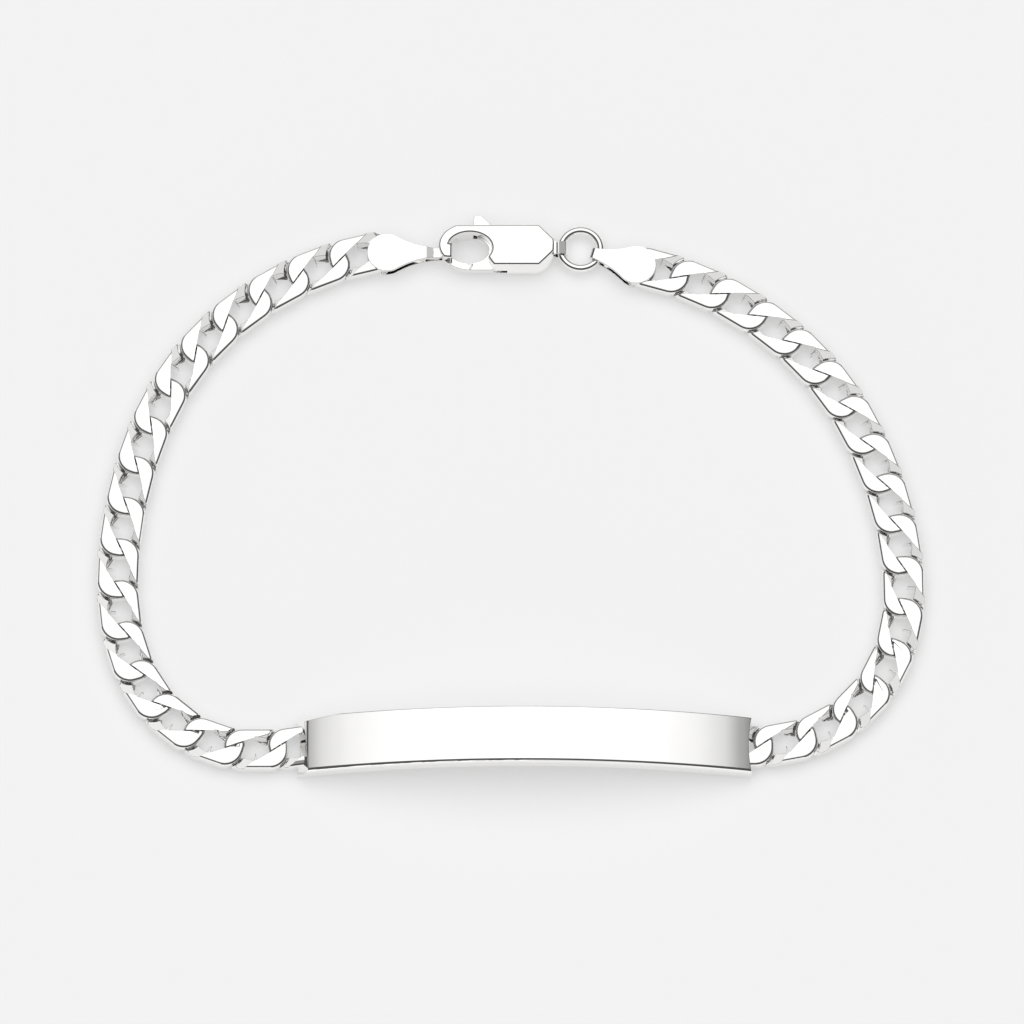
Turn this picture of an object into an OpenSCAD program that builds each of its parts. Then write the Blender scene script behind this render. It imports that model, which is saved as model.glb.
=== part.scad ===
// Identity bracelet: a flat ground curb chain on an arched plate, closed by a lobster clasp.
// It lies flat on its links. X runs along the plate, Y towards the clasp and Z up.

/* [Chain] */
// Distance from one link to the next
link_pitch = 4.43; // [4.4:0.01:4.5]
// Wire of the links
link_wire = 0.96; // [0.9:0.02:1]
// Width of the chain
link_w = 4.38; // [4.2:0.02:4.6]
// Height left between the two ground faces
link_t = 1.7; // [1.5:0.05:1.8]
// Tilt of each end of a link out of the flat
link_tilt = 34; // [32:1:38]
// Free play where two links hook together
link_play = 0.06; // [0.04:0.01:0.1]

/* [Plate] */
// Length of the plate, straight from end to end
plate_l = 45.4; // [44:0.1:46]
// Width of the plate
plate_w = 5.85; // [5.4:0.05:6.2]
// Thickness of the plate
plate_t = 1.7; // [1.4:0.05:2]
// Inner radius of the plate's arch
plate_r = 69.2; // [60:0.2:90]
// Bevel along the upper edges
plate_bevel = 0.2; // [0.1:0.05:0.3]
// Depth of the hollow cut into each end
plate_end_hollow = 0.3; // [0.1:0.05:0.4]

/* [End tags] */
// Radius of a tag's round head
tag_r = 1.98; // [1.8:0.02:2.2]
// Half width of a tag at its fold
tag_tip = 0.48; // [0.4:0.02:0.5]
// Thickness of each leaf
tag_leaf = 0.35; // [0.3:0.01:0.38]
// Height of the tag's upper face
tag_top = 1.85; // [1.8:0.01:1.9]
// Height of the tag's lower face
tag_low = 0.25; // [0.2:0.01:0.28]
// Sweep of the hollow flanks
tag_flank_r = 9; // [7:0.5:12]

/* [Jump ring] */
// Outer diameter of the ring
ring_d = 4.78; // [4.7:0.02:4.8]
// Wire of the ring
ring_wire = 0.78; // [0.7:0.02:0.8]

/* [Clasp] */
// Width of the clasp body
clasp_w = 5; // [4.8:0.05:5.2]
// Thickness of the clasp body
clasp_t = 2.6; // [2.5:0.05:2.7]
// Length from the hook to the neck of the eye
clasp_l = 11.6; // [11.5:0.05:11.7]
// Thickness of the lever plate
lever_t = 0.9; // [0.8:0.05:0.9]
// Thickness of the prong under the end of the hook
prong_t = 0.55; // [0.45:0.05:0.6]
// Diameter of the hinge pin
pin_d = 0.8; // [0.7:0.05:0.9]
// Running clearance of the lever
lever_gap = 0.05; // [0.05:0.01:0.08]

/* [Hidden] */
$fn = 48;
cut = 0.02;

// Ends of a link are round bends, its sides are the straights between them
link_bend_r = (link_w - link_wire) / 2 / cos(link_tilt);
link_half = (link_pitch + link_wire + link_play) / 2;
link_side = link_half - link_bend_r;
link_reach = link_half + link_wire / 2;

// Run of links clockwise from the plate to the left tag
left_start = [-25.5, -26.72];
left_heading = 180;
// Turn of each link against the one before, in degrees
left_turns = [20, 20, 18, 15, 11, 8, 6, 5, 6, 7, 8, 9, 9, 8, 8, 8];
// Run of links clockwise from the right tag to the plate
right_start = [14.75, 23.75];
right_heading = -16;
right_turns = [8, 8, 7, 8, 8, 8, 6, 6, 6, 8, 12, 15, 17, 18, 18];

// Headings of the half links that are soldered to the plate
plate_left_heading = 188;
plate_right_heading = -180;
plate_centre = [1.28, -26.42];
plate_reach = plate_l / 2;
plate_axis_z = -sqrt(pow(plate_r, 2) - pow(plate_reach, 2));
plate_sector = asin(plate_reach / plate_r) + 1;
plate_end_r = (pow(plate_w / 2, 2) + pow(plate_end_hollow, 2)) / 2 / plate_end_hollow;

left_tag_centre = [-12.48, 25.55];
left_tag_fold = 6.26;
left_tag_dip = 0.25;
right_tag_centre = [12.5, 24.25];
right_tag_heading = -16;
right_tag_fold = 4.8;

ring_centre = [6.92, 26.1];
ring_z = 1.05;

// Places on the clasp, from the outside of its hook and its centre line
clasp_origin = [-7.32, 26.1];
hook_c = [3.3, 0];
hook_r = [3.3, 2.4];
hole_c = [3.15, -0.3];
hole_r = [2.2, 1.6];
nub_x = 1.4;
nub_y = [-1.39, 0.2];
lap_z = 1.65;
lap_y = 1.3;
lap_x = 1.9;
prong_x = 0.7;
prong_foot = [1.15, -1.82];
fold_y = [-1.15, 0.05];
slot_x = [3.2, 6.9];
lever_z = 0.7;
pivot = [5.75, -1.1];
hub_r = 0.85;
gate_w = 0.75;
gate_tip = [1.2, -1];
eye_x = 12.19;
eye_hole_r = 0.6;
eye_r = 0.78;
eye_w = 1.3;
trigger_y = 3.45;

function headings(first, turns) =
    [for (i = 0, h = first; i <= len(turns); h = h - (i < len(turns) ? turns[i] : 0), i = i + 1) h];
function along(h) = [cos(h), sin(h)];
function next_centre(c, h0, h1) = c + link_pitch / 2 * (along(h0) + along(h1));
function centres(c, hs, i = 0) =
    i == len(hs) - 1 ? [c] : concat([c], centres(next_centre(c, hs[i], hs[i + 1]), hs, i + 1));

left_h = headings(left_heading, left_turns);
left_c = centres(left_start, left_h);
right_h = headings(right_heading, right_turns);
right_c = centres(right_start, right_h);
left_n = len(left_h) - 1;
right_n = len(right_h) - 1;
plate_left_c = next_centre(left_c[0], left_h[0] + 180, plate_left_heading + 180);
plate_right_c = next_centre(right_c[right_n], right_h[right_n], plate_right_heading);

function two_digits(n) = n < 10 ? str("0", n) : str(n);
function left_name(i) = str("link_left_", two_digits(i + 1));
function right_name(i) = str("link_right_", two_digits(i));

// A straight rod with ball ends between two points
module rod(p, q, d) {
    v = q - p;
    translate(p) rotate([0, acos(v.z / norm(v)), atan2(v.y, v.x)]) cylinder(h = norm(v), d = d);
}

// One round end of a link, side 1 towards +X and side -1 towards -X
module link_bend(side) {
    rotate([-side * link_tilt, 0, 0]) translate([side * link_side, 0, 0]) rotate([0, 0, -side * 90])
        rotate_extrude(angle = 180) translate([link_bend_r, 0]) circle(d = link_wire);
}

// One side of a link, from the high end to the low one
module link_flank(side) {
    y = side * link_bend_r * cos(link_tilt);
    z = side * link_bend_r * sin(link_tilt);
    from = [-link_side, y, z];
    to = [link_side, y, -z];
    rod(from, to, link_wire);
    for (p = [from, to]) translate(p) sphere(d = link_wire + cut);
}

// A twisted link with its top and bottom ground flat, standing on z = 0
module link() {
    translate([0, 0, link_t / 2]) intersection() {
        union() {
            for (side = [-1, 1]) {
                link_bend(side);
                link_flank(side);
            }
        }
        cube([4 * link_half, 2 * link_w, link_t], center = true);
    }
}

module placed(c, h) {
    translate([c.x, c.y, 0]) rotate([0, 0, h]) children();
}

// The outer part of a link, cut off just past its middle
module half_link(side) {
    intersection() {
        link();
        translate([side * link_reach, 0, 0]) cube([2 * link_reach + 1, 2 * link_w, 4 * link_t], center = true);
    }
}

module arched_bar() {
    half = plate_w / 2;
    outer = plate_r + plate_t;
    translate([0, 0, plate_axis_z]) rotate([90, 0, 0]) rotate([0, 0, 90 - plate_sector])
        rotate_extrude(angle = 2 * plate_sector, $fn = 720) polygon([
            [plate_r, -half], [outer - plate_bevel, -half], [outer, -half + plate_bevel],
            [outer, half - plate_bevel], [outer - plate_bevel, half], [plate_r, half]]);
}

module id_plate() {
    color("silver") {
        translate([plate_centre.x, plate_centre.y, 0]) intersection() {
            arched_bar();
            translate([0, 0, -1]) linear_extrude(plate_t + plate_r) difference() {
                square([plate_l, 2 * plate_w], center = true);
                for (side = [-1, 1])
                    translate([side * (plate_reach + plate_end_r - plate_end_hollow), 0]) circle(plate_end_r);
            }
        }
        placed(plate_left_c, plate_left_heading) half_link(1);
        placed(plate_right_c, plate_right_heading) half_link(-1);
    }
}

// Outline of a tag: a round head, hollow flanks and a narrow strip that ends at the fold
module tag_outline(fold) {
    flank_y = tag_tip + tag_flank_r;
    flank_x = sqrt(pow(tag_r + tag_flank_r, 2) - pow(flank_y, 2));
    join = [flank_x, flank_y] * tag_r / (tag_r + tag_flank_r);
    circle(tag_r);
    intersection() {
        difference() {
            translate([0, -join.y]) square([flank_x, 2 * join.y]);
            for (side = [-1, 1]) translate([flank_x, side * flank_y]) circle(tag_flank_r, $fn = 96);
        }
        translate([join.x - cut, -join.y]) square([fold, 2 * join.y]);
    }
    translate([join.x, -tag_tip]) square([fold - join.x, 2 * tag_tip]);
    translate([0, -join.y + cut]) square([join.x, 2 * (join.y - cut)]);
}

// Side view of the folded strip, its upper leaf lower by the dip where it passes the hook
module tag_side(fold, dip) {
    back = -tag_r - 1;
    slope = fold - 2.5;
    flat_from = slope + 0.7;
    upper = tag_top - dip;
    difference() {
        polygon([[back, tag_low], [fold, tag_low], [fold, upper], [flat_from, upper],
            [slope, tag_top], [back, tag_top]]);
        polygon([[back - 1, tag_low + tag_leaf], [fold - tag_leaf, tag_low + tag_leaf],
            [fold - tag_leaf, upper - tag_leaf], [flat_from, upper - tag_leaf],
            [slope, tag_top - tag_leaf], [back - 1, tag_top - tag_leaf]]);
    }
}

module tag(fold, dip) {
    intersection() {
        linear_extrude(2 * tag_top) tag_outline(fold);
        translate([0, tag_r + 1, 0]) rotate([90, 0, 0]) linear_extrude(2 * tag_r + 2) tag_side(fold, dip);
    }
}

module end_tag_left() {
    color("silver") {
        placed(left_tag_centre, 0) tag(left_tag_fold, left_tag_dip);
        placed(left_c[left_n], left_h[left_n]) link();
    }
}

module end_tag_right() {
    color("silver") {
        placed(right_tag_centre, right_tag_heading) mirror([1, 0, 0]) tag(right_tag_fold, 0);
        placed(right_c[0], right_h[0]) link();
    }
}

module jump_ring() {
    color("silver") translate([ring_centre.x, ring_centre.y, ring_z])
        rotate_extrude() translate([(ring_d - ring_wire) / 2, 0]) circle(d = ring_wire);
}

function on_ellipse(c, r, a) = [c.x + r.x * cos(a), c.y + r.y * sin(a)];

// Outline of the whole clasp seen from above, hook to the left and neck to the right
module clasp_outline() {
    half = clasp_w / 2;
    neck = eye_w / 2;
    polygon(concat(
        [for (a = [90:10:270]) on_ellipse(hook_c, hook_r, a)],
        [[5.2, -half], [9.6, -half], [10.3, -2.33], [10.9, -1.9], [11.35, -1.3], [clasp_l, -neck],
            [clasp_l, neck], [11.35, 1.3], [10.9, 1.9], [10.3, 2.33], [9.6, half], [5.2, half]]));
}

// Hollow of the hook with the open side where the gate closes it
module clasp_open() {
    difference() {
        union() {
            polygon([for (a = [0:12:348]) on_ellipse(hole_c, hole_r, a)]);
            polygon([[-1, nub_y[0]], [hole_c.x, nub_y[0]], [4.95, -0.9], [5, -1.3], [5.6, -2.1],
                [5.6, -clasp_w], [-1, -clasp_w]]);
            polygon([[hole_c.x, nub_y[0] - 1], [hole_c.x, 0], [4.8, 0.1], [4.97, -0.5], [5, -1.3]]);
        }
        translate([0, nub_y[0]]) square([nub_x, nub_y[1] - nub_y[0]]);
    }
}

// Cross section of the clasp, looking along it
module clasp_section() {
    half = clasp_w / 2;
    polygon([[-1.6, 0], [1.6, 0], [half, 0.8], [half, 1.6], [half - 0.45, clasp_t],
        [-half + 0.45, clasp_t], [-half, 1.6], [-half, 0.8]]);
}

// Lower prong of the hook: the fold of the tag goes round it and its foot meets the gate
module clasp_prong() {
    low = lever_z - lever_gap;
    difference() {
        translate([0, 0, low]) linear_extrude(lever_t) polygon(concat(
            [for (a = [140:5:225]) on_ellipse(hook_c, hook_r - [0.05, 0.05], a)],
            [prong_foot, [prong_foot.x - 0.05, fold_y[0] - 0.15], [prong_x, fold_y[0]], [prong_x, 0.6],
                [1.3, 1.5]]));
        translate([-1, fold_y[0], low + prong_t]) cube([lap_x + 1, fold_y[1] - fold_y[0], lap_z]);
    }
}

module clasp_eye() {
    difference() {
        union() {
            translate([eye_x, eye_w / 2, ring_z]) rotate([90, 0, 0]) cylinder(h = eye_w, r = eye_r);
            translate([clasp_l - 0.6, -eye_w / 2, ring_z - eye_r + 0.1])
                cube([0.8, eye_w, 2 * eye_r - 0.2]);
        }
        translate([eye_x, clasp_w / 2, ring_z]) rotate([90, 0, 0]) cylinder(h = clasp_w, r = eye_hole_r);
    }
}

module clasp_body() {
    slot_low = lever_z - lever_gap;
    slot_h = lever_t + 2 * lever_gap;
    color("silver") translate([clasp_origin.x, clasp_origin.y, 0]) {
        difference() {
            intersection() {
                rotate([90, 0, 90]) linear_extrude(clasp_l + 1) clasp_section();
                linear_extrude(2 * clasp_t) difference() {
                    clasp_outline();
                    clasp_open();
                }
            }
            // Room under the end of the hook for the prong, the fold of the tag and the gate
            translate([-1, -clasp_w, -1]) cube([lap_x + 1, clasp_w + lap_y, lap_z + 1]);
            // Slot for the lever between the two cheeks
            translate([slot_x[0], -clasp_w, slot_low])
                cube([slot_x[1] - slot_x[0], 2 * clasp_w, slot_h]);
            translate([eye_x, clasp_w / 2, ring_z]) rotate([90, 0, 0]) cylinder(h = clasp_w, r = eye_hole_r);
        }
        // Hinge pin between the cheeks
        translate([pivot.x, pivot.y, slot_low - 0.2]) cylinder(h = slot_h + 0.4, d = pin_d);
        clasp_prong();
        clasp_eye();
    }
}

module lever_outline() {
    outer = [for (a = [230:8:278]) on_ellipse(hook_c, hook_r - [0.05, 0], a)];
    inner = [for (a = [278:-8:222]) on_ellipse(hook_c, hook_r - [gate_w, gate_w], a)];
    polygon(concat(outer, inner, [gate_tip]));
    polygon([[2.9, -2.4], [5.3, -2.4], [6.3, -1.8], [5.2, -0.4], [4.3, -1.1], [3, -1.7]]);
    translate(pivot) circle(hub_r);
    polygon([[4.95, -1.1], [6.4, -0.6], [5.25, 2.5], [4.3, trigger_y], [3.7, trigger_y], [3.5, 3.2],
        [3.5, 2]]);
}

module clasp_lever() {
    color("silver") translate([clasp_origin.x, clasp_origin.y, lever_z]) difference() {
        linear_extrude(lever_t) lever_outline();
        translate([pivot.x, pivot.y, -1]) cylinder(h = lever_t + 2, d = pin_d + 2 * lever_gap);
    }
}

id_plate();
end_tag_left();
end_tag_right();
jump_ring();
clasp_body();
clasp_lever();
for (i = [0:left_n - 1])
    color("silver") placed(left_c[i], left_h[i]) link();
for (i = [1:right_n])
    color("silver") placed(right_c[i], right_h[i]) link();
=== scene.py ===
import math
import bpy
from mathutils import Matrix, Vector


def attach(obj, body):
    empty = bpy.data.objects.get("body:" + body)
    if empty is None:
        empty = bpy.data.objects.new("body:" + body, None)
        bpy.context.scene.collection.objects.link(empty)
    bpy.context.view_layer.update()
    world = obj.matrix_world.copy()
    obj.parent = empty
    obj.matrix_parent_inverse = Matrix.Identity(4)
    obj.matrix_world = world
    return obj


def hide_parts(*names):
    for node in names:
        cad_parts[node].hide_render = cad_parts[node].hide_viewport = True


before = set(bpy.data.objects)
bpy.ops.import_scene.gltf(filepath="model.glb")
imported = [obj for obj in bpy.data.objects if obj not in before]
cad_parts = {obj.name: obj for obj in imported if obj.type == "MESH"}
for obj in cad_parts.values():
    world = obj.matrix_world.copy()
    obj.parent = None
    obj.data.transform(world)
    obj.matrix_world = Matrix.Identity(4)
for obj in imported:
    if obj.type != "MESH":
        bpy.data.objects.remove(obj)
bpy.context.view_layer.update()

# Sizes are in millimetres. Each piece is modelled in them and brought to metres at its end
MM = 0.001

# Chain
LINK_PITCH = 4.43
LINK_LONG = 6.5
LINK_WIDE = 4.26
LINK_THICK = 1.69
LINK_CORNER = 1.9
LINK_LIFT = 0.004
# Inset and rise of each step from the side of a link to its ground face
CUSHION = ((0.03, 0.18), (0.09, 0.13), (0.14, 0.08), (0.25, 0.081))
HOLE_LONG = 4.4
HOLE_WIDE = 2.4
# How far a parting face between two links moves along the chain for each square millimetre of y times z
PARTING_SWEEP = 2.16
PARTING_GAP = 0.2
PARTING_HALF_Y = 2.6
PARTING_HALF_Z = 1.275
# Where the strands of a link fall away under the next link, and the block that cuts them
STRAND_FALL = math.radians(16.5)
STRAND_STEP = 0.22
STRAND_ALONG = 3.05
STRAND_BACK = 0.008
STRAND_CUTTER = (3.3, 1.5, 1.3)
# How far the cutter for a link's share of the chain goes, past the end of the link
SHARE_REACH = 7
# How far a half link goes on past its middle into the end of the plate
SOLDER_REACH = 0.5

# Runs of links, clockwise from the plate to the left tag and from the right tag to the plate.
# Each turn is that of a link against the one before, in degrees
LEFT_START = (-25.5, -26.72)
LEFT_HEADING = 180
LEFT_TURNS = (20, 20, 18, 15, 11, 8, 6, 5, 6, 7, 8, 9, 9, 8, 8, 8)
RIGHT_START = (14.75, 23.75)
RIGHT_HEADING = -16
RIGHT_TURNS = (8, 8, 7, 8, 8, 8, 6, 6, 6, 8, 12, 15, 17, 18, 18)
PLATE_LEFT_HEADING = 188
PLATE_RIGHT_HEADING = -180

# Identity plate
PLATE_CENTRE = (1.28, -26.42)
PLATE_LONG = 45.4
PLATE_WIDE = 5.85
PLATE_THICK = 1.7
PLATE_RADIUS = 69.2
PLATE_HOLLOW = 0.3
ARCH_STEPS = 96
ARCH_SPARE = math.radians(1)
# Bevel on the near edge, wide and deep, and the rounding of the section's corners
NEAR_BEVEL = (0.24, 0.28)
SECTION_ROUND = 0.17
# Cuts, as a point from the plate's centre and a direction outwards
LEFT_END_CUT = ((-21.76, 0, 2.1), (-0.837, -0.052, 0.545))
FAR_BEVEL_CUT = ((-17.8, PLATE_WIDE / 2, 3.26), (-0.81, 1.925, 1.925))

# End tags
TAG_HEAD = 1.98
TAG_TIP = 0.48
TAG_LEAF = 0.35
TAG_TOP = 1.85
TAG_LOW = 0.25
TAG_FLANK = 9
TAG_FOLD_ROUND = 0.3
# The strip of the fold, and how far it starts inside the flanks
TAG_STRIP = 2
TAG_LAP = 0.03
# Where the flat metal starts before it is cut to the outline, and how wide it is
TAG_LEAF_START = -2.6
TAG_SHEET = 6
# Centre, heading, reach of the fold and depth of the dip behind it
LEFT_TAG = ((-12.48, 25.55), 0, 6.26, 0.25)
RIGHT_TAG = ((12.5, 24.25), 164, 4.8, 0)
# The dip starts this far behind the fold. Its points are given by place, share of its depth, and rise
DIP_REACH = 2.5
DIP_POINTS = ((0.97, 1, 0), (0.87, 1, 0.01), (0.2, 0, -0.03), (0, 0, 0))

# Jump ring
RING_CENTRE = (6.92, 26.1, 1.05)
RING_ACROSS = 4.78
RING_WIRE = 0.78
RING_SEAM = math.radians(112.5)
RING_SEAM_WIRE = 0.94

# Clasp, measured from the outside of its hook, its middle line and the table
CLASP_AT = (-7.32, 26.1)
CLASP_LONG = 11.6
CLASP_WIDE = 5
CLASP_HIGH = 2.6
CLASP_CORNER = 1.85
# Inset and rise of each step from the side of the clasp to its face
CLASP_RIM = ((0.046, 0.073), (0.065, 0.056), (0.078, 0.036), (0.085, 0.012))
HOOK_MIDDLE = 3.3
HOOK_RADII = (3.3, 2.4)
# Where the straight sides of the body begin to draw in towards the hook
BODY_START = 5.2
OPENING_MIDDLE = (3.15, -0.3)
OPENING_RADII = (2.2, 1.6)
PIVOT = (5.75, -1.1)
PIN_ROUND = 0.4
PIN_LONG = 1.4
# Place of the eye in x and z
EYE_AT = (12.19, 1.05)
EYE_OUTER = 0.78
EYE_INNER = 0.6
EYE_WIDE = 1.3
# Cuts on the sides of the body: height, and direction outwards as a share to the side and a share up
SIDE_ABOVE = (1.6, 1, 0.45)
SIDE_BELOW = (0.8, 0.8, -0.9)
# The far corners are cut there in x and y, with the same share to the end as to the side
CORNER_ABOVE = (10.93, 1.83, 0.707)
# Blocks from one corner to the other
LAP_Y = -1.39
LAP_GAP = ((-1, -CLASP_WIDE, -3.5), (5.6, LAP_Y, 3.5))
HOOK_CORNER = ((1.38, -1.6, -4.5), (2.2, -1, 4.5))
CHEEK = ((OPENING_MIDDLE[0], -2.4, -3), (5, 0.05, 3))
NUB = ((-2, -1.38, -5), (1.4, 0.2, 5))
ROOM = ((-1, -CLASP_WIDE, -1), (1.9, 1.3, 1.65))
SLOT = ((3.43, -CLASP_WIDE, 0.65), (6.9, CLASP_WIDE, 1.65))
NECK = ((11.2, -0.64, 0.37), (12.2, 0.64, 1.72))
TAG_ROOM = ((-1, -1.15, 1.2), (1.9, 0.05, 3))
GROOVE = ((-0.03, -0.9, 1.5), (0.03, 0.3, 2))
# Cuts, as a point and a direction outwards
LAP_END_CUT = ((5, LAP_Y, 0), (0.8, 0.6, 0))
CHEEK_CUT = ((4.97, -0.5, 0), (0.6, 0.17, 0))
PRONG_CUT = ((1.15, 0, 0), (1, 0, 0))
STRAP_CUT = ((12.4, 0, 1.72), (0.309, 0, 0.951))
FREE_CUT = ((4.73, -1.12, 1), (0.54, -0.84, 0))
# The prong is a ring that lies inside the outline of the hook
PRONG_INSET = 0.05
PRONG_INNER = 0.75
PRONG_HIGH = 0.9
PRONG_Z = 1.1
# Lever
TRIGGER_Y = 2.9
TRIGGER_ROUND = 0.25
FREE_INSET = 0.3
GROOVE_AT = (3.29, -2.05)
GROOVE_TURN = math.radians(-29)

# Heights of cutters that go right through a piece
THROUGH_THIN = 3
THROUGH_TAG = 6
THROUGH_CLASP = 8
THROUGH_PLATE = 16

# Rounding of worn edges
LINK_ROUND = 0.045
PLATE_ROUND = 0.05
TAG_ROUND = 0.06
LEVER_ROUND = 0.08
ROUND_STEPS = 3
SHARP = math.radians(28)
SMOOTH = math.radians(35)
# A vertex that is farther from the unrounded piece than this share of the rounding has gone astray
STRAY = 0.6
# Vertices nearer than this become one, before and after the rounding, and before the clasp's rim
MERGE_BEFORE = 0.03
MERGE_AFTER = 0.002
MERGE_RIM = 0.08

# Silver, with its patterns' scales per metre. The polishing lines run along the plate
BRUSH_SCALE = (900, 9000, 9000)
BRUSH_TURN = (0, 0, 0.5)
CLOUD_SCALE = 420.0
PIT_SCALE = 2600.0
PIT_STOPS = ((0.03, 1), (0.09, 0))
DEEP_SHARE = 0.955

# View and light, in metres, but the target in millimetres
PHOTO_ELEVATION = math.radians(71.4)
PHOTO_WIDE = 0.1024
PHOTO_TARGET = (0.05, -1.31, 0)
CAMERA_AWAY = 4
SENSOR = 36
FLOOR_RADIUS = 3.2
FLOOR_DROP = 0.00002
FLOOR_GREY = 0.42
FLOOR_GLOW = 0.4
LAMP_ACROSS = 2.4
LAMP_HIGH = 1
LAMP_POWER = 18
# Brightness of the light by its distance from the middle, and of the low walls by how low they are
LIGHT_STOPS = ((0.0, 1.2), (0.33, 1.15), (0.38, 1.0), (0.46, 0.9), (0.52, 0.7), (0.55, 0.4), (0.6, 0.02))
LIGHT_BEHIND = 0.3
WALL_STOPS = ((0.0, 0.0), (0.88, 0.0), (0.96, 1.0), (1.0, 1.0))
ROOM_GLOW = 0.06


# Modelling helpers

def nothing_selected():
    if bpy.context.object and bpy.context.object.mode != "OBJECT":
        bpy.ops.object.mode_set(mode="OBJECT")
    bpy.ops.object.select_all(action="DESELECT")


def only(piece):
    nothing_selected()
    piece.select_set(True)
    bpy.context.view_layer.objects.active = piece
    return piece


def fresh(name):
    """Names the primitive that was just added and puts its place and size in its mesh."""
    bpy.ops.object.transform_apply(location=True, rotation=True, scale=True)
    piece = bpy.context.object
    piece.name = name
    piece.data.name = name
    return piece


def box(name, size, centre=(0, 0, 0)):
    nothing_selected()
    bpy.ops.mesh.primitive_cube_add(size=1, location=centre, scale=size)
    return fresh(name)


def block(name, low, high):
    """Box between two corners."""
    size = [b - a for a, b in zip(low, high)]
    return box(name, size, [(a + b) / 2 for a, b in zip(low, high)])


def drum(name, radii, high, centre=(0, 0, 0), corners=64):
    nothing_selected()
    bpy.ops.mesh.primitive_cylinder_add(vertices=corners, radius=1, depth=1, location=centre)
    bpy.context.object.scale = (*radii, high)
    return fresh(name)


def sheet(name, size, centre, turn=(0, 0, 0)):
    nothing_selected()
    bpy.ops.mesh.primitive_plane_add(size=1, location=centre, rotation=turn)
    bpy.context.object.scale = (*size, 1)
    return fresh(name)


def pick(piece, test, kind="VERT"):
    """Selects the vertices, edges or faces that pass the test and leaves the piece in edit mode."""
    only(piece)
    mesh = piece.data
    for part in (mesh.vertices, mesh.edges, mesh.polygons):
        part.foreach_set("select", [False] * len(part))
    if kind == "VERT":
        for v in mesh.vertices:
            v.select = test(v.co)
    elif kind == "EDGE":
        for e in mesh.edges:
            e.select = test(mesh.vertices[e.vertices[0]].co, mesh.vertices[e.vertices[1]].co)
    else:
        for f in mesh.polygons:
            f.select = test(f)
    bpy.context.tool_settings.mesh_select_mode = (kind == "VERT", kind == "EDGE", kind == "FACE")
    bpy.ops.object.mode_set(mode="EDIT")


def pick_all(piece):
    only(piece)
    bpy.ops.object.mode_set(mode="EDIT")
    bpy.ops.mesh.select_all(action="SELECT")


def done():
    bpy.ops.object.mode_set(mode="OBJECT")


def slice_off(piece, point, outwards, fill=True):
    """Cuts a piece with a plane and drops what lies beyond it."""
    pick_all(piece)
    facing = Vector(outwards).normalized()
    bpy.ops.mesh.bisect(plane_co=point, plane_no=facing, use_fill=fill, clear_outer=True, threshold=0.0001)
    done()


def twin(piece, name):
    """A copy with a mesh of its own."""
    copy = bpy.data.objects.new(name, piece.data.copy())
    copy.data.name = name
    bpy.context.scene.collection.objects.link(copy)
    return copy


def place(piece, matrix):
    """Moves a piece in its mesh."""
    only(piece)
    piece.matrix_world = matrix
    bpy.ops.object.transform_apply(location=True, rotation=True, scale=True)
    return piece


def turned(angle, axis="Z"):
    return Matrix.Rotation(angle, 4, axis)


def at(x, y, z=0):
    return Matrix.Translation((x, y, z))


def lay(piece, centre, heading):
    return place(piece, at(*centre) @ turned(math.radians(heading)))


def to_metres(piece, rise=0):
    return place(piece, Matrix.Diagonal((MM, MM, MM, 1)) @ at(0, 0, rise))


def combine(piece, other, how, solver="EXACT"):
    """Joins, cuts or crosses a piece with another solid, which is used up."""
    only(piece)
    step = piece.modifiers.new("cut", "BOOLEAN")
    step.operation = how
    step.solver = solver
    step.object = other
    bpy.ops.object.modifier_apply(modifier=step.name)
    bpy.data.objects.remove(other)
    return piece


def shine(piece):
    """Smooth roundings between flats that stay flat."""
    only(piece)
    bpy.ops.object.shade_smooth_by_angle(angle=SMOOTH)
    step = piece.modifiers.new("flats", "WEIGHTED_NORMAL")
    step.weight = 100
    step.keep_sharp = True
    bpy.ops.object.modifier_apply(modifier=step.name)
    return piece


def soften(piece, width):
    """Rounds the sharp edges, as polishing does, and keeps the flats flat."""
    pick_all(piece)
    bpy.ops.mesh.remove_doubles(threshold=MERGE_BEFORE)
    bpy.ops.mesh.dissolve_degenerate(threshold=MERGE_BEFORE)
    done()
    before = twin(piece, "before")
    step = piece.modifiers.new("edge", "BEVEL")
    step.width = width
    step.segments = ROUND_STEPS
    step.limit_method = "ANGLE"
    step.angle_limit = SHARP
    step.use_clamp_overlap = False
    step.miter_outer = "MITER_ARC"
    bpy.ops.object.modifier_apply(modifier=step.name)
    # Where short edges meet, a rounding can reach past the faces, and is pulled back to them
    group = piece.vertex_groups.new(name="stray")
    for v in piece.data.vertices:
        if (before.closest_point_on_mesh(v.co)[1] - v.co).length > STRAY * width:
            group.add([v.index], 1, "REPLACE")
    step = piece.modifiers.new("stray", "SHRINKWRAP")
    step.target = before
    step.vertex_group = group.name
    bpy.ops.object.modifier_apply(modifier=step.name)
    piece.vertex_groups.clear()
    # Nothing rises above the top or sinks below the foot that the piece had
    heights = [v.co.z for v in before.data.vertices]
    bpy.data.objects.remove(before)
    for side, level in ((-1, min(heights)), (1, max(heights))):
        pick(piece, lambda v: (v.z - level) * side > 0)
        bpy.ops.transform.resize(value=(1, 1, 0), center_override=(0, 0, level))
        done()
    pick_all(piece)
    bpy.ops.mesh.remove_doubles(threshold=MERGE_AFTER)
    bpy.ops.mesh.dissolve_degenerate(threshold=MERGE_AFTER)
    bpy.ops.mesh.fill_holes(sides=0)
    done()
    return shine(piece)


# Chain

def along(heading):
    spin = math.radians(heading)
    return Vector((math.cos(spin), math.sin(spin)))


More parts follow.
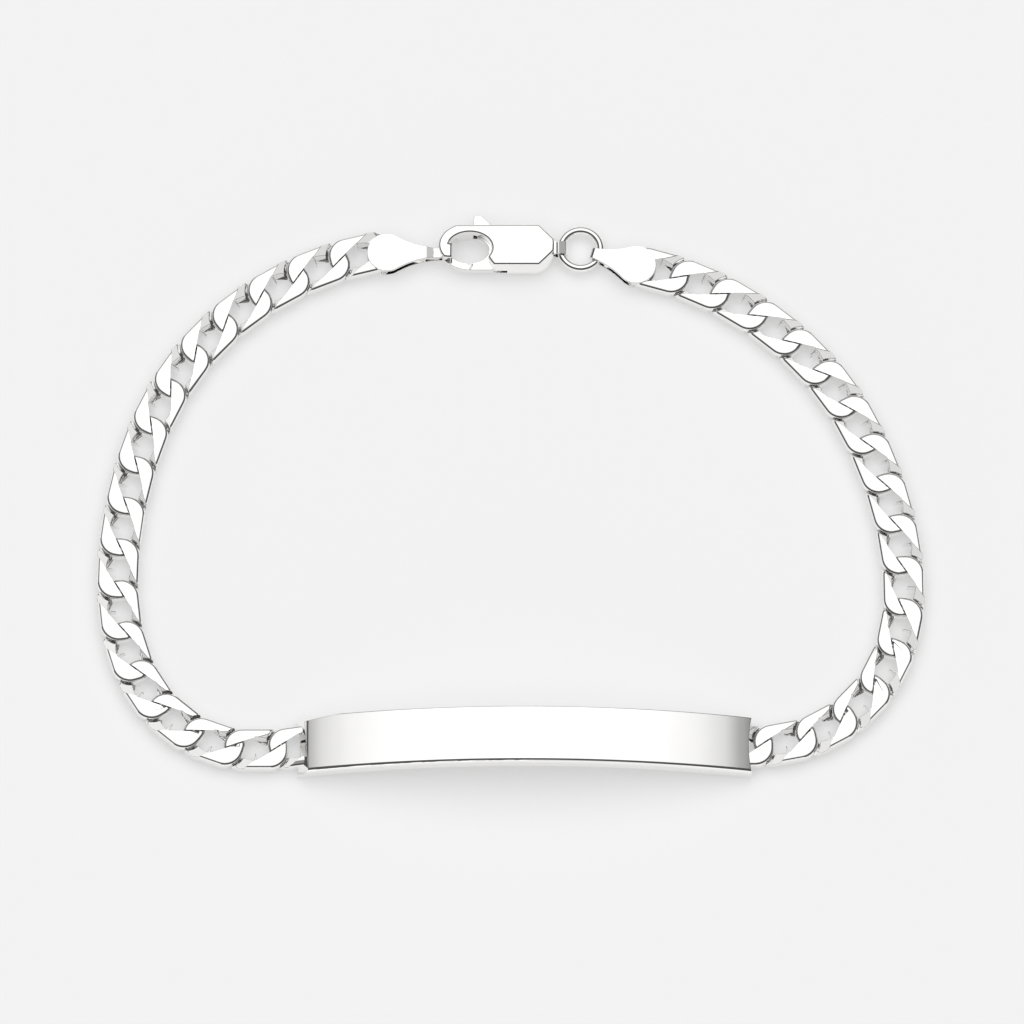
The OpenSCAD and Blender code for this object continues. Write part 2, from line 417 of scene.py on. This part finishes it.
def run_of_links(start, heading, turns):
    """Centre and heading of each link. A step goes half along one link and half along the next."""
    places = [(Vector(start), heading)]
    for turn in turns:
        centre, before = places[-1]
        after = before - turn
        step = along(before) * LINK_PITCH / 2 + along(after) * LINK_PITCH / 2
        places.append((centre + step, after))
    return places


def link_outline(name, grow=0.0, high=0.0):
    """Rounded block with the outline of a link. Without a height it gets the link's cushioned sides."""
    straight = high or LINK_THICK - 2 * sum(rise for inset, rise in CUSHION)
    piece = box(name, (LINK_LONG + 2 * grow, LINK_WIDE + 2 * grow, straight))
    pick(piece, lambda a, b: abs(a.z - b.z) > straight / 2, "EDGE")
    bpy.ops.mesh.bevel(offset=LINK_CORNER + grow, segments=9, affect="EDGES")
    done()
    if not high:
        for side in (1, -1):
            pick(piece, lambda f: f.normal.z * side > 0.9, "FACE")
            for inset, rise in CUSHION:
                bpy.ops.mesh.inset(thickness=inset, depth=rise)
            done()
    return piece


def parting_block(name, low, high):
    """Block between two parting faces at low and high along the chain, each twisted as the links are."""
    size = (high - low, 2 * PARTING_HALF_Y, 2 * PARTING_HALF_Z)
    piece = box(name, size, ((low + high) / 2, 0, 0))
    sweep = PARTING_SWEEP * PARTING_HALF_Y * PARTING_HALF_Z
    for side in (1, -1):
        pick(piece, lambda v: v.y * v.z * side > 0)
        bpy.ops.transform.translate(value=(sweep * side, 0, 0))
        done()
    pick_all(piece)
    bpy.ops.mesh.subdivide(number_cuts=11)
    bpy.ops.mesh.quads_convert_to_tris()
    done()
    return piece


def strand_slopes():
    """Cuts the strands of a link down to where they pass under the next link, above and below."""
    slant = math.atan(1 / (PARTING_SWEEP * LINK_THICK / 2))
    x = STRAND_ALONG * math.cos(slant) - PARTING_GAP / 2 - STRAND_BACK
    y = STRAND_ALONG * math.sin(slant)
    long, deep, high = STRAND_CUTTER
    piece = box("slope", STRAND_CUTTER, (0, -deep / 2, high / 2))
    tilt = turned(slant) @ turned(STRAND_FALL, "X")
    place(piece, at(x, y, LINK_THICK / 2 - STRAND_STEP) @ tilt)
    return piece, place(twin(piece, "slope_below"), turned(math.pi, "X"))


def half_hole():
    """The near half of a link's hole, seen from the parting face."""
    piece = drum("hole", (HOLE_LONG / 2, HOLE_WIDE / 2), THROUGH_THIN, (LINK_PITCH / 2, 0, 0))
    slice_off(piece, (LINK_PITCH / 2 + 0.01, 0, 0), (1, 0, 0))
    return piece


def fit_links(places, names):
    """Cuts each link to its neighbours: they part along faces that twist as the wire does."""
    blank = link_outline("link")
    outline = link_outline("neighbour", PARTING_GAP, THROUGH_THIN + 1)
    hole = half_hole()
    slopes = strand_slopes()
    share = parting_block("share", -PARTING_GAP / 2, SHARE_REACH)
    links = []
    for i, ((centre, heading), name) in enumerate(zip(places, names)):
        piece = lay(twin(blank, name), centre, heading)
        for side in (-1, 1):
            other = i + side
            has_neighbour = 0 <= other < len(places)
            if has_neighbour:
                middle = (centre + places[other][0]) / 2
                toward = (heading + places[other][1]) / 2
            else:
                middle = centre + along(heading) * (side * LINK_PITCH / 2)
                toward = heading
            joint = at(*middle) @ turned(math.radians(toward))
            if side > 0:
                joint = joint @ turned(math.pi, "Y")
            cutter = place(twin(hole, "cutter"), joint)
            if has_neighbour:
                combine(cutter, lay(twin(outline, "near"), *places[other]), "UNION")
            combine(cutter, place(twin(share, "share_here"), joint), "INTERSECT")
            combine(piece, cutter, "DIFFERENCE")
            for slope in slopes:
                combine(piece, place(twin(slope, "slope_here"), joint), "DIFFERENCE")
        links.append(piece)
    for spare in (blank, outline, hole, share, *slopes):
        bpy.data.objects.remove(spare)
    return links


def chain():
    """Both runs, with the half links of the plate at their ends and those of the tags."""
    left = run_of_links(LEFT_START, LEFT_HEADING, LEFT_TURNS)
    back = run_of_links(LEFT_START, LEFT_HEADING + 180, (LEFT_HEADING - PLATE_LEFT_HEADING,))
    left.insert(0, (back[1][0], PLATE_LEFT_HEADING))
    last_turn = RIGHT_HEADING - sum(RIGHT_TURNS) - PLATE_RIGHT_HEADING
    right = run_of_links(RIGHT_START, RIGHT_HEADING, (*RIGHT_TURNS, last_turn))
    left_links = fit_links(left, [f"chain_left_{i:02d}" for i in range(len(left))])
    right_links = fit_links(right, [f"chain_right_{i:02d}" for i in range(len(right))])
    # The link next to the plate is soldered into its end, so only its outer half shows
    for piece, (centre, heading), side in ((left_links[0], left[0], 1), (right_links[-1], right[-1], -1)):
        inwards = along(heading).to_3d() * -side
        slice_off(piece, centre.to_3d() + inwards * SOLDER_REACH, inwards)
    for piece in left_links + right_links:
        soften(piece, LINK_ROUND)
        to_metres(piece, LINK_THICK / 2 + LINK_LIFT)
    return left_links, right_links


# Identity plate

def plate_cut(bar, cut):
    (x, y, z), outwards = cut
    slice_off(bar, (PLATE_CENTRE[0] + x, PLATE_CENTRE[1] + y, z), outwards)


def identity_plate():
    half_wide = PLATE_WIDE / 2
    half_long = PLATE_LONG / 2
    axis_z = -math.sqrt(PLATE_RADIUS ** 2 - half_long ** 2)
    middle = (0, 0, PLATE_RADIUS + PLATE_THICK / 2)
    bar = sheet("plate", (PLATE_THICK, PLATE_WIDE), middle, (0, math.pi / 2, 0))
    # A steep bevel on the near side, then every corner of the section is rounded
    wide, deep = NEAR_BEVEL
    slice_off(bar, (0, wide - half_wide, PLATE_RADIUS + PLATE_THICK), (0, -deep, wide), fill=False)
    pick_all(bar)
    bpy.ops.mesh.bevel(offset=SECTION_ROUND, segments=6, affect="VERTICES")
    done()
    # The section is swept along the arch, a little past both ends
    sweep = math.asin(half_long / PLATE_RADIUS) + ARCH_SPARE
    place(bar, turned(sweep, "Y"))
    pick_all(bar)
    bpy.ops.mesh.spin(steps=ARCH_STEPS, angle=2 * sweep, center=(0, 0, 0), axis=(0, 1, 0))
    bpy.ops.mesh.select_all(action="SELECT")
    bpy.ops.mesh.normals_make_consistent(inside=False)
    done()
    place(bar, at(*PLATE_CENTRE, axis_z))
    # Hollow ends
    ends = box("ends", (PLATE_LONG, 2 * PLATE_WIDE, THROUGH_PLATE), (*PLATE_CENTRE, 0))
    hollow = (half_wide ** 2 + PLATE_HOLLOW ** 2) / 2 / PLATE_HOLLOW
    for side in (1, -1):
        away = side * (half_long + hollow - PLATE_HOLLOW)
        centre = (PLATE_CENTRE[0] + away, PLATE_CENTRE[1], 0)
        cutter = drum("hollow", (hollow, hollow), THROUGH_PLATE + 4, centre, 192)
        combine(ends, cutter, "DIFFERENCE")
    combine(bar, ends, "INTERSECT")
    # The left end is cut on a slant, and the far edge next to it has a bevel that runs out towards the middle
    plate_cut(bar, LEFT_END_CUT)
    soften(bar, PLATE_ROUND)
    plate_cut(bar, FAR_BEVEL_CUT)
    return to_metres(shine(bar))


# End tags

def tag_outline(fold):
    """Round head with hollow flanks that run into a narrow strip."""
    flank_y = TAG_TIP + TAG_FLANK
    flank_x = math.sqrt((TAG_HEAD + TAG_FLANK) ** 2 - flank_y ** 2)
    join_y = flank_y * TAG_HEAD / (TAG_HEAD + TAG_FLANK)
    web = box("web", (flank_x, 2 * join_y, THROUGH_TAG), (flank_x / 2, 0, 0))
    for side in (1, -1):
        centre = (flank_x, side * flank_y, 0)
        flank = drum("flank", (TAG_FLANK, TAG_FLANK), THROUGH_TAG + 2, centre, 256)
        combine(web, flank, "DIFFERENCE")
    outline = drum("head", (TAG_HEAD, TAG_HEAD), THROUGH_TAG, corners=96)
    combine(outline, web, "UNION")
    if fold > flank_x:
        middle = flank_x + TAG_STRIP / 2 - TAG_LAP
        strip = box("strip", (TAG_STRIP, 2 * TAG_TIP, THROUGH_TAG), (middle, 0, 0))
        combine(outline, strip, "UNION")
    return outline


def fold_path(fold, dip):
    """Middle line of the folded strip, as points in x and z."""
    low = TAG_LOW + TAG_LEAF / 2
    high = TAG_TOP - TAG_LEAF / 2
    end = fold - TAG_LEAF / 2
    bend = TAG_FOLD_ROUND
    points = [(TAG_LEAF_START, low), (end - bend, low)]
    for step in range(1, 7):
        turn = math.radians(15 * step)
        points.append((end - bend + bend * math.sin(turn), low + bend * (1 - math.cos(turn))))
    for step in range(7):
        turn = math.radians(15 * step)
        points.append((end - bend + bend * math.cos(turn), high - dip - bend * (1 - math.sin(turn))))
    if dip:
        for x, share, rise in DIP_POINTS:
            points.append((fold - DIP_REACH + x, high - dip * share + rise))
    points.append((TAG_LEAF_START, high))
    return points


def end_tag(name, centre, heading, fold, dip):
    """One strip that is folded over, given its thickness and cut to its outline."""
    points = fold_path(fold, dip)
    (x0, z0), (x1, z1) = points[:2]
    leaf = sheet(name, (x1 - x0, TAG_SHEET), ((x0 + x1) / 2, 0, z0))
    pick(leaf, lambda a, b: min(a.x, b.x) > x1 - 0.01, "EDGE")
    for (xa, za), (xb, zb) in zip(points[1:], points[2:]):
        if math.hypot(xb - xa, zb - za) > 0.001:
            bpy.ops.mesh.extrude_region_move(TRANSFORM_OT_translate={"value": (xb - xa, 0, zb - za)})
    bpy.ops.mesh.select_all(action="SELECT")
    bpy.ops.mesh.normals_make_consistent(inside=False)
    done()
    only(leaf)
    step = leaf.modifiers.new("metal", "SOLIDIFY")
    step.thickness = TAG_LEAF
    step.offset = 0
    step.use_even_offset = True
    bpy.ops.object.modifier_apply(modifier=step.name)
    pick_all(leaf)
    bpy.ops.mesh.normals_make_consistent(inside=False)
    done()
    combine(leaf, tag_outline(fold), "INTERSECT")
    soften(leaf, TAG_ROUND)
    lay(leaf, centre, heading)
    return to_metres(leaf)


# Jump ring

def ring_of_wire():
    nothing_selected()
    middle = (RING_ACROSS - RING_WIRE) / 2
    bpy.ops.mesh.primitive_torus_add(
        major_segments=144, minor_segments=32, major_radius=middle, minor_radius=RING_WIRE / 2)
    ring = fresh("ring")
    # The closed joint shows as a fine groove
    seam = (middle * math.cos(RING_SEAM), middle * math.sin(RING_SEAM), 0)
    pick(ring, lambda v: abs(math.atan2(v.y, v.x) - RING_SEAM) < 0.01)
    bpy.ops.transform.resize(value=[RING_SEAM_WIRE] * 3, center_override=seam)
    done()
    only(ring)
    bpy.ops.object.shade_smooth_by_angle(angle=SMOOTH)
    place(ring, at(*RING_CENTRE))
    return to_metres(ring)


# Clasp

def raise_rim(piece, level, steps):
    """Rounds the edges of a flat top, which is sliced off lower down and comes up again in steps."""
    foot = level - sum(up for inset, up in steps)
    slice_off(piece, (0, 0, foot), (0, 0, 1))
    pick_all(piece)
    bpy.ops.mesh.remove_doubles(threshold=MERGE_RIM)
    done()
    pick(piece, lambda f: f.normal.z > 0.99 and f.center.z > foot - 0.001, "FACE")
    for inset, up in steps:
        bpy.ops.mesh.inset(thickness=inset, depth=up)
    done()


def across(name, radius, wide):
    """Round bar that lies across the clasp at the place of the eye."""
    x, z = EYE_AT
    return place(drum(name, (radius, radius), wide), at(x, 0, z) @ turned(math.pi / 2, "X"))


def clasp_opening():
    """Hollow of the hook and the open side where the gate closes it."""
    cutter = drum("opening", OPENING_RADII, THROUGH_CLASP, (*OPENING_MIDDLE, 0), 96)
    gap = block("gap", *LAP_GAP)
    slice_off(gap, *LAP_END_CUT)
    combine(cutter, gap, "UNION")
    combine(cutter, block("corner", *HOOK_CORNER), "UNION")
    cheek = block("cheek", *CHEEK)
    slice_off(cheek, *CHEEK_CUT)
    combine(cutter, cheek, "UNION")
    return combine(cutter, block("nub", *NUB), "DIFFERENCE")


def clasp_prong():
    """Lower prong of the hook, which the fold of the left tag goes round."""
    centre = (HOOK_MIDDLE, 0, PRONG_Z)
    prong = drum("prong", [r - PRONG_INSET for r in HOOK_RADII], PRONG_HIGH, centre, 96)
    inner = drum("inner", [r - PRONG_INNER for r in HOOK_RADII], THROUGH_THIN, centre, 96)
    combine(prong, inner, "DIFFERENCE")
    slice_off(prong, *PRONG_CUT)
    return combine(prong, block("fold", *TAG_ROOM), "DIFFERENCE")


def clasp_body():
    half = CLASP_WIDE / 2
    body = block("clasp", (BODY_START, -half, 0), (CLASP_LONG, half, CLASP_HIGH))
    pick(body, lambda a, b: min(a.x, b.x) > CLASP_LONG - 0.01 and abs(a.z - b.z) > 1, "EDGE")
    bpy.ops.mesh.bevel(offset=CLASP_CORNER, segments=7, profile=0.4, affect="EDGES")
    done()
    pick(body, lambda f: f.normal.x < -0.9, "FACE")
    back = HOOK_MIDDLE - BODY_START
    bpy.ops.mesh.extrude_region_move(TRANSFORM_OT_translate={"value": (back, 0, 0)})
    bpy.ops.transform.resize(value=(1, HOOK_RADII[1] / half, 1), center_override=(HOOK_MIDDLE, 0, 0))
    done()
    hook = drum("hook", HOOK_RADII, CLASP_HIGH - 0.02, (HOOK_MIDDLE, 0, CLASP_HIGH / 2), 128)
    combine(body, hook, "UNION")
    for side in (1, -1):
        for z, out, up in (SIDE_ABOVE, SIDE_BELOW):
            slice_off(body, (0, side * half, z), (0, side * out, up))
        x, y, out = CORNER_ABOVE
        slice_off(body, (x, side * y, SIDE_ABOVE[0]), (out, side * out, SIDE_ABOVE[2]))
    combine(body, clasp_opening(), "DIFFERENCE")
    raise_rim(body, CLASP_HIGH, CLASP_RIM)
    # Room under the end of the hook for the prong, the tag and the gate
    combine(body, block("room", *ROOM), "DIFFERENCE")
    # Slot for the lever between the two cheeks
    combine(body, block("slot", *SLOT), "DIFFERENCE")
    pin_z = (SLOT[0][2] + SLOT[1][2]) / 2
    combine(body, drum("pin", (PIN_ROUND, PIN_ROUND), PIN_LONG, (*PIVOT, pin_z), 48), "UNION")
    combine(body, clasp_prong(), "UNION")
    # Eye for the ring, a strap that falls away from the face
    eye = across("eye", EYE_OUTER, EYE_WIDE)
    combine(eye, block("neck", *NECK), "UNION")
    slice_off(eye, *STRAP_CUT)
    combine(body, eye, "UNION")
    combine(body, across("eye_hole", EYE_INNER, THROUGH_THIN), "DIFFERENCE")
    shine(body)
    return to_metres(place(body, at(*CLASP_AT)))


def clasp_lever():
    """The gate and the trigger keep the outline of their solid, with rounded edges above and below."""
    lever = twin(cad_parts["clasp_lever"], "lever")
    place(lever, at(-CLASP_AT[0], -CLASP_AT[1]) @ Matrix.Diagonal((1 / MM, 1 / MM, 1 / MM, 1)))
    pick_all(lever)
    bpy.ops.mesh.remove_doubles(threshold=0.002)
    bpy.ops.mesh.dissolve_limited(angle_limit=math.radians(1))
    done()
    pick(lever, lambda a, b: min(a.y, b.y) > TRIGGER_Y and abs(a.z - b.z) > 0.5, "EDGE")
    bpy.ops.mesh.bevel(offset=TRIGGER_ROUND, segments=4, affect="EDGES")
    bpy.ops.mesh.select_all(action="SELECT")
    bpy.ops.mesh.remove_doubles(threshold=0.01)
    done()
    # In the hook the lever follows the opening and leaves it free
    radii = [r - FREE_INSET for r in OPENING_RADII]
    free = drum("free", radii, THROUGH_THIN, (*OPENING_MIDDLE, 1), 96)
    slice_off(free, *FREE_CUT)
    combine(lever, free, "DIFFERENCE", solver="FAST")
    # A fine line parts the gate from the hub
    groove = place(block("groove", *GROOVE), at(*GROOVE_AT) @ turned(GROOVE_TURN))
    combine(lever, groove, "DIFFERENCE", solver="FAST")
    soften(lever, LEVER_ROUND)
    return to_metres(place(lever, at(*CLASP_AT)))


# Finishes

class Flow:
    """A value, colour or direction on its way through the nodes of a finish."""

    def __init__(self, tree, socket=None):
        self.tree = tree
        self.socket = socket

    def node(self, kind, settings=None, inputs=None, out=0):
        made = self.tree.nodes.new("ShaderNode" + kind)
        for key, value in (settings or {}).items():
            if key == "stops":
                self.set_stops(made.color_ramp, value)
            else:
                setattr(made, key, value)
        for key, value in (inputs or {}).items():
            if isinstance(value, Flow):
                self.tree.links.new(value.socket, made.inputs[key])
            else:
                made.inputs[key].default_value = value
        return Flow(self.tree, made.outputs[out])

    def set_stops(self, ramp, stops):
        while len(ramp.elements) < len(stops):
            ramp.elements.new(0.5)
        for element, (where, value) in zip(ramp.elements, stops):
            element.position = where
            element.color = (value, value, value, 1)

    def maths(self, how, first, second):
        return self.node("Math", {"operation": how}, {0: first, 1: second})

    def __add__(self, other):
        return self.maths("ADD", self, other)

    __radd__ = __add__

    def __sub__(self, other):
        return self.maths("SUBTRACT", self, other)

    def __rsub__(self, other):
        return self.maths("SUBTRACT", other, self)

    def __mul__(self, other):
        return self.maths("MULTIPLY", self, other)

    __rmul__ = __mul__

    def blend(self, low, high):
        """Colour between two others, by this value."""
        return self.node("Mix", {"data_type": "RGBA"}, {0: self, 6: low, 7: high}, out=2)


def silver(name, roughness, grain, bright):
    """Polished silver with faint polishing lines, fine pits and a slight unevenness of shine."""
    material = bpy.data.materials.new(name)
    material.use_nodes = True
    tree = material.node_tree
    shader = tree.nodes["Principled BSDF"]
    shader.inputs["Metallic"].default_value = 1
    start = Flow(tree)
    where = start.node("TexCoord", out="Object")
    brushed = {"Vector": where, "Scale": BRUSH_SCALE, "Rotation": BRUSH_TURN}
    lines_at = start.node("Mapping", None, brushed)
    lines = start.node("TexNoise", None, {"Vector": lines_at, "Scale": 1.0, "Detail": 3.0})
    clouds = start.node("TexNoise", None, {"Vector": where, "Scale": CLOUD_SCALE, "Detail": 4.0})
    pits = start.node("TexVoronoi", {"feature": "F1"}, {"Vector": where, "Scale": PIT_SCALE})
    pit = start.node("ValToRGB", {"stops": PIT_STOPS}, {0: pits})
    rough = roughness + grain * (lines - 0.5) + grain * 1.4 * (clouds - 0.5) + 0.03 * pit
    tree.links.new(rough.socket, shader.inputs["Roughness"])
    deep = tuple(DEEP_SHARE * v for v in bright[:3]) + (1,)
    tree.links.new(clouds.blend(deep, bright).socket, shader.inputs["Base Color"])
    height = 0.5 * lines + 0.2 * clouds - 0.15 * pit
    bump = start.node("Bump", None, {"Strength": 0.05, "Distance": 0.00002, "Height": height})
    tree.links.new(bump.socket, shader.inputs["Normal"])
    return material


def coat(pieces, finish):
    for piece in pieces:
        piece.data.materials.clear()
        piece.data.materials.append(finish)


# Studio

def table():
    nothing_selected()
    bpy.ops.mesh.primitive_circle_add(
        vertices=96, radius=FLOOR_RADIUS, fill_type="NGON", location=(0, 0, -FLOOR_DROP))
    floor = fresh("floor")
    paint = bpy.data.materials.new("pale floor")
    paint.use_nodes = True
    shader = paint.node_tree.nodes["Principled BSDF"]
    shader.inputs["Base Color"].default_value = (FLOOR_GREY, FLOOR_GREY, FLOOR_GREY, 1)
    shader.inputs["Roughness"].default_value = 1
    shader.inputs["Specular IOR Level"].default_value = 0
    # The table is lit from below as well, so shadows on it stay short and pale
    shader.inputs["Emission Color"].default_value = (1, 1, 1, 1)
    shader.inputs["Emission Strength"].default_value = FLOOR_GLOW
    floor.data.materials.append(paint)


def room_light():
    """One soft light above, a little behind, a dark gap round it, and low walls round the table."""
    world = bpy.data.worlds.new("studio light")
    bpy.context.scene.world = world
    world.use_nodes = True
    tree = world.node_tree
    start = Flow(tree)
    toward = start.node("TexCoord", out="Generated")
    x, y, z = [start.node("SeparateXYZ", None, {0: toward}, out=i) for i in range(3)]
    off_x = start.node("Math", {"operation": "ABSOLUTE"}, {0: x})
    off_y = start.node("Math", {"operation": "MAXIMUM"}, {0: y - LIGHT_BEHIND, 1: 0.95 * (LIGHT_BEHIND - y)})
    off = start.node("Math", {"operation": "SQRT"}, {0: off_x * off_x + off_y * off_y})
    light = start.node("ValToRGB", {"stops": LIGHT_STOPS}, {0: off})
    low = start.node("ValToRGB", {"stops": WALL_STOPS}, {0: 1 - z * z})
    # The walls are white in front, grey on the left, and dark on the right and behind
    walls = 0.7 - 0.4 * y - 0.2 * x - 0.3 * x * x
    room = light + low * walls + ROOM_GLOW
    back = tree.nodes["Background"]
    tree.links.new(room.socket, back.inputs["Color"])
    back.inputs["Strength"].default_value = 1


def wide_lamp():
    """Gives the soft shadows on the table. The silver mirrors only the room."""
    data = bpy.data.lights.new("lamp", "AREA")
    data.shape = "DISK"
    data.size = LAMP_ACROSS
    data.energy = LAMP_POWER
    lamp = bpy.data.objects.new("lamp", data)
    bpy.context.scene.collection.objects.link(lamp)
    lamp.location = (0, 0, LAMP_HIGH)
    lamp.visible_glossy = False
    lamp.visible_camera = False


def camera():
    """Far away with a long lens, so that the view is nearly free of perspective."""
    data = bpy.data.cameras.new("camera")
    cam = bpy.data.objects.new("camera", data)
    bpy.context.scene.collection.objects.link(cam)
    back = Vector((0, -math.cos(PHOTO_ELEVATION), math.sin(PHOTO_ELEVATION)))
    cam.location = Vector(PHOTO_TARGET) * MM + back * CAMERA_AWAY
    cam.rotation_euler = (-back).to_track_quat("-Z", "Y").to_euler()
    data.sensor_width = SENSOR
    data.lens = SENSOR * CAMERA_AWAY / PHOTO_WIDE
    data.clip_start = 0.01
    data.clip_end = 20
    bpy.context.scene.camera = cam


left_links, right_links = chain()
plate = identity_plate()
left_tag = end_tag("tag_left", *LEFT_TAG)
right_tag = end_tag("tag_right", *RIGHT_TAG)
ring = ring_of_wire()
clasp = clasp_body()
lever = clasp_lever()

ground_silver = silver("ground silver", 0.06, 0.03, (0.97, 0.965, 0.955, 1))
cast_silver = silver("cast silver", 0.09, 0.04, (0.96, 0.955, 0.945, 1))
wire_silver = silver("wire silver", 0.07, 0.03, (0.965, 0.96, 0.95, 1))

ground_pieces = left_links + right_links + [plate, left_tag, right_tag]
coat(ground_pieces, ground_silver)
coat([ring], wire_silver)
coat([clasp, lever, *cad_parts.values()], cast_silver)

last_left = len(left_links) - 1
last_right = len(right_links) - 1
for i, piece in enumerate(left_links):
    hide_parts("id_plate" if i == 0 else "end_tag_left" if i == last_left else f"link_left_{i:02d}")
for i, piece in enumerate(right_links):
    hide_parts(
        "end_tag_right" if i == 0 else "id_plate" if i == last_right else f"link_right_{i:02d}")
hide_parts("id_plate")
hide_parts("end_tag_left")
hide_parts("end_tag_right")
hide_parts("jump_ring")
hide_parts("clasp_body")
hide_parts("clasp_lever")
for piece in ground_pieces + [ring, clasp, lever]:
    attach(piece, "lever" if piece is lever else "bracelet")

table()
room_light()
wide_lamp()
camera()
bpy.context.scene.view_settings.view_transform = "Standard"
